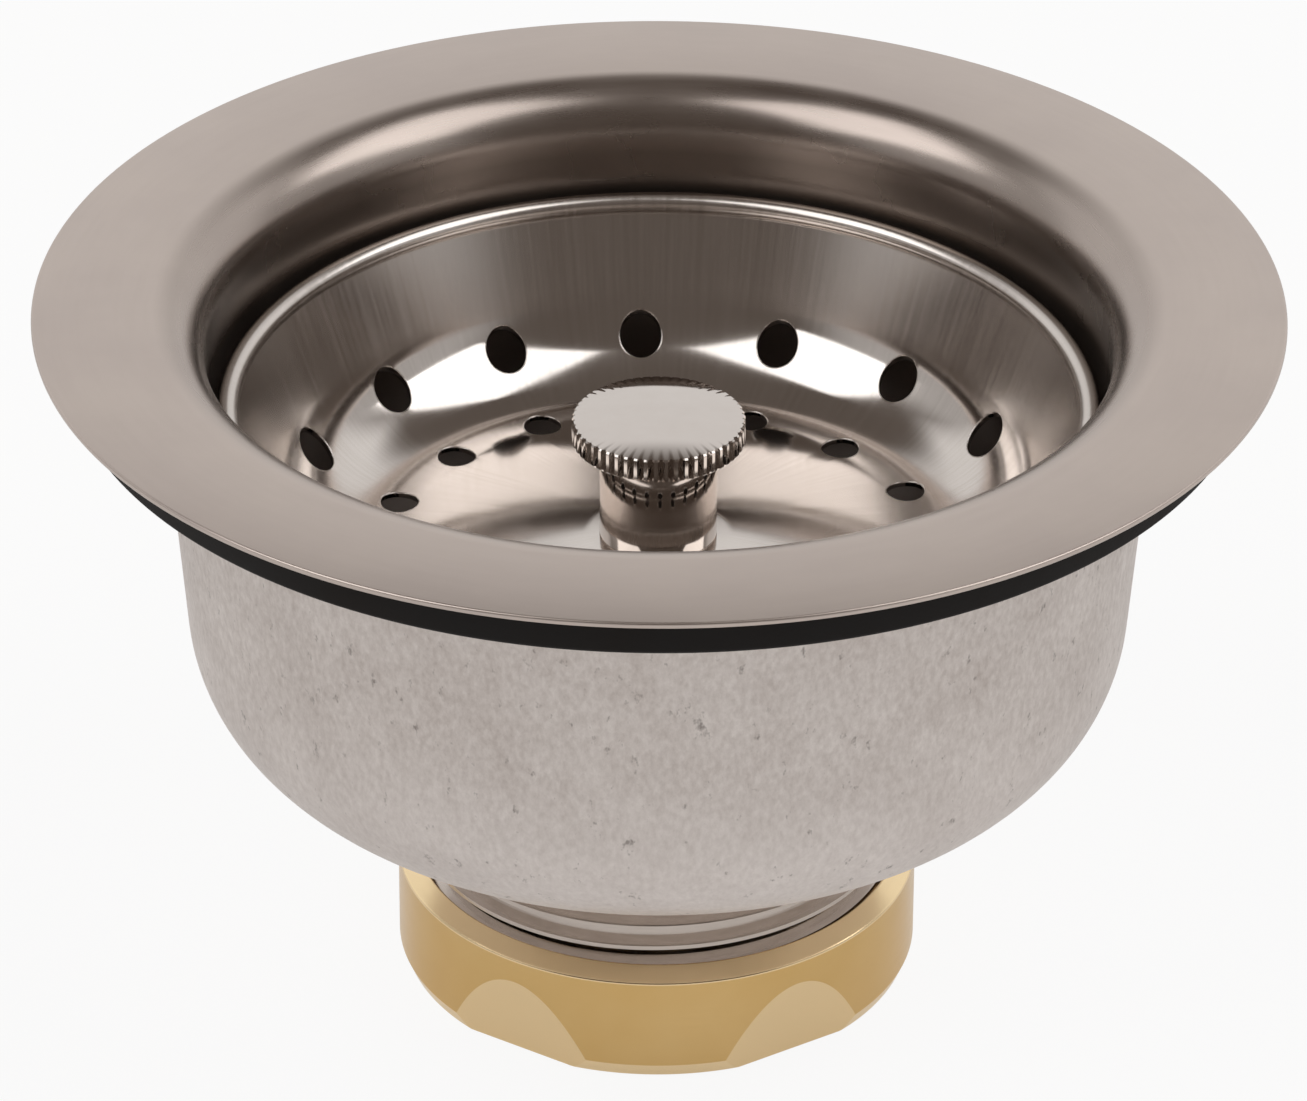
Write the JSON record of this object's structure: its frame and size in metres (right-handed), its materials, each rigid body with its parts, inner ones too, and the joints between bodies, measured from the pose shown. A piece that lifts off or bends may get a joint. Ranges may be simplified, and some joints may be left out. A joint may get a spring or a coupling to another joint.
{
  "type": "kitchen sink basket strainer",
  "caption": "Round flanged sink drain strainer with a lift-out perforated basket, rubber gasket, outer mounting cup and a brass coupling nut on a threaded tail.",
  "frame": {"origin": "on the axis, in the plane of the coupling nut's lower face, which the strainer stands on", "axes": "+Z along the axis, up through the drain towards the flange; +X points midway between two of the coupling nut's four flats"},
  "size_m": [0.1142, 0.1142, 0.0689],
  "materials": {
    "satin_stainless": "satin brushed",
    "polished_stainless": "polished, with a brushed upper wall",
    "bright_plated_brass": "bright plated",
    "chrome": "polished",
    "spring_steel": "plain bright steel",
    "black_rubber": "matte",
    "grey_fibre": "matte",
    "galvanised_steel": "dull mottled zinc coating",
    "brass": "satin machined",
    "white_nylon": "matte"
  },
  "bodies": {
    "drain_body": {"strainer_body": "satin_stainless", "threaded_tail": "bright_plated_brass", "crossbar": "satin_stainless", "post_clip": "spring_steel"},
    "clamp_stack": {"sink_gasket": "black_rubber", "friction_washer": "grey_fibre", "mounting_cup": "galvanised_steel"},
    "locknut": {"locknut": "galvanised_steel"},
    "tail_seal": {"tailpiece_washer": "white_nylon"},
    "coupling_nut": {"coupling_nut": "brass"},
    "lift_out_basket": {"basket": "polished_stainless", "basket_post": "chrome", "knob": "chrome", "stem": "spring_steel", "spacer_sleeve": "spring_steel", "backing_washer": "spring_steel", "stopper": "black_rubber", "stopper_washer": "spring_steel", "retaining_nut": "brass"}
  },
  "joints": [
    {"name": "basket_lift", "type": "slide", "parent": "drain_body", "child": "lift_out_basket", "axis": [0, 0, 1], "range_m": [0, 0.055]},
    {"name": "clamp_drop", "type": "slide", "parent": "drain_body", "child": "clamp_stack", "axis": [0, 0, -1], "range_m": [0, 0.0077]},
    {"name": "locknut_turn", "type": "hinge", "parent": "clamp_stack", "child": "locknut", "pos_m": [0, 0, 0.0221], "axis": [0, 0, -1], "range_deg": [0, 1260]},
    {"name": "seal_drop", "type": "slide", "parent": "drain_body", "child": "tail_seal", "axis": [0, 0, -1], "range_m": [0, 0.0088]},
    {"name": "coupling_nut_turn", "type": "hinge", "parent": "tail_seal", "child": "coupling_nut", "pos_m": [0, 0, 0.0053], "axis": [0, 0, -1], "range_deg": [0, 1440]}
  ],
  "couplings": [
    {"joint": "locknut_turn", "follows": "clamp_drop", "rad_per_m": 2844.4},
    {"joint": "coupling_nut_turn", "follows": "seal_drop", "rad_per_m": 2844.4}
  ]
}
